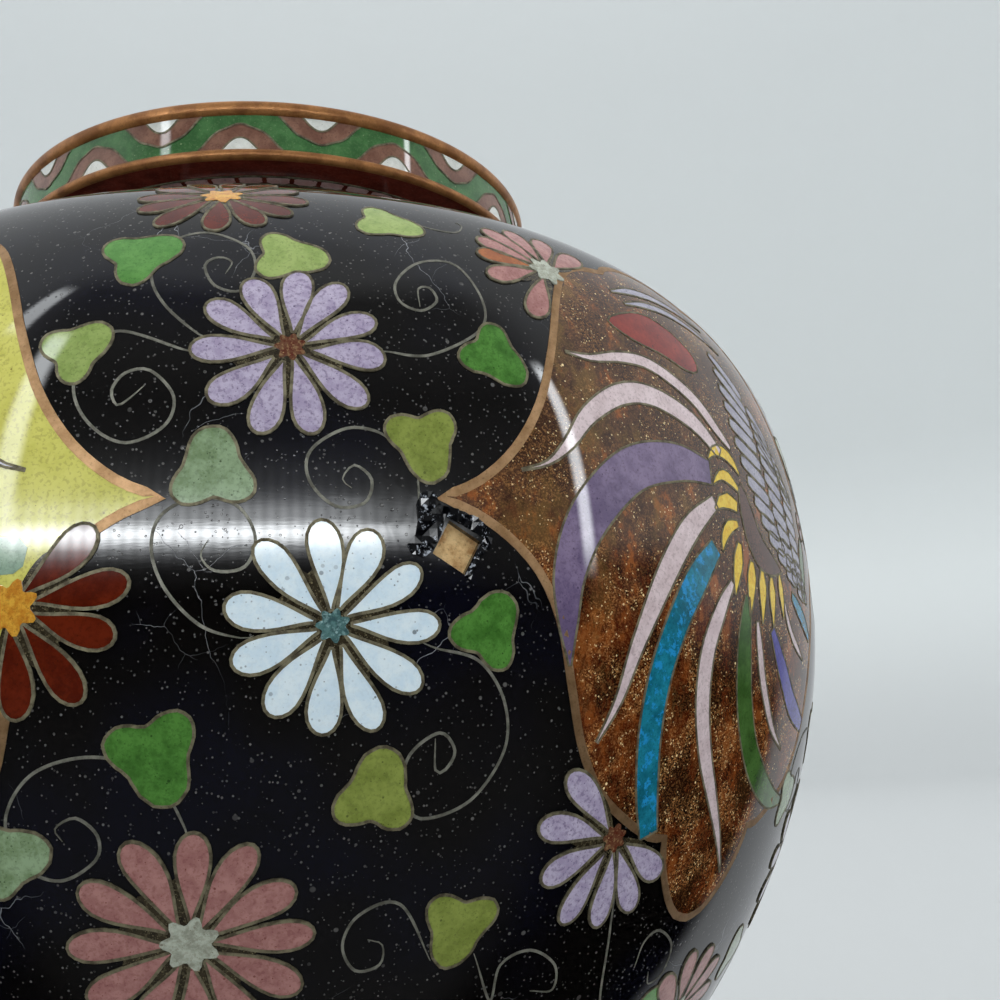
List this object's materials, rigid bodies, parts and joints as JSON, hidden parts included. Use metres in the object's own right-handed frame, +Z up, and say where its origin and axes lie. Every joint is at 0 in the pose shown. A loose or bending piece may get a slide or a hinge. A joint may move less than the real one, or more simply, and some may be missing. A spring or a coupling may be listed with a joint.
{
  "type": "lidded tripod vessel",
  "caption": "Small round enamelled copper jar on stub feet, with a banded collar at the mouth and a loose low domed lid with a button knob.",
  "frame": {"origin": "on the floor, under the middle of the jar", "axes": "+Z up along the jar's axis, -Y towards the front, +X to the right"},
  "size_m": [0.096, 0.096, 0.1071],
  "materials": {
    "black_enamel": "gloss",
    "copper": "satin"
  },
  "bodies": {
    "root": {"vessel": "black_enamel", "mouth_collar": "copper", "foot_1": "copper", "foot_2": "copper", "foot_3": "copper", "lid": "black_enamel", "lid_knob": "copper"}
  },
  "joints": []
}
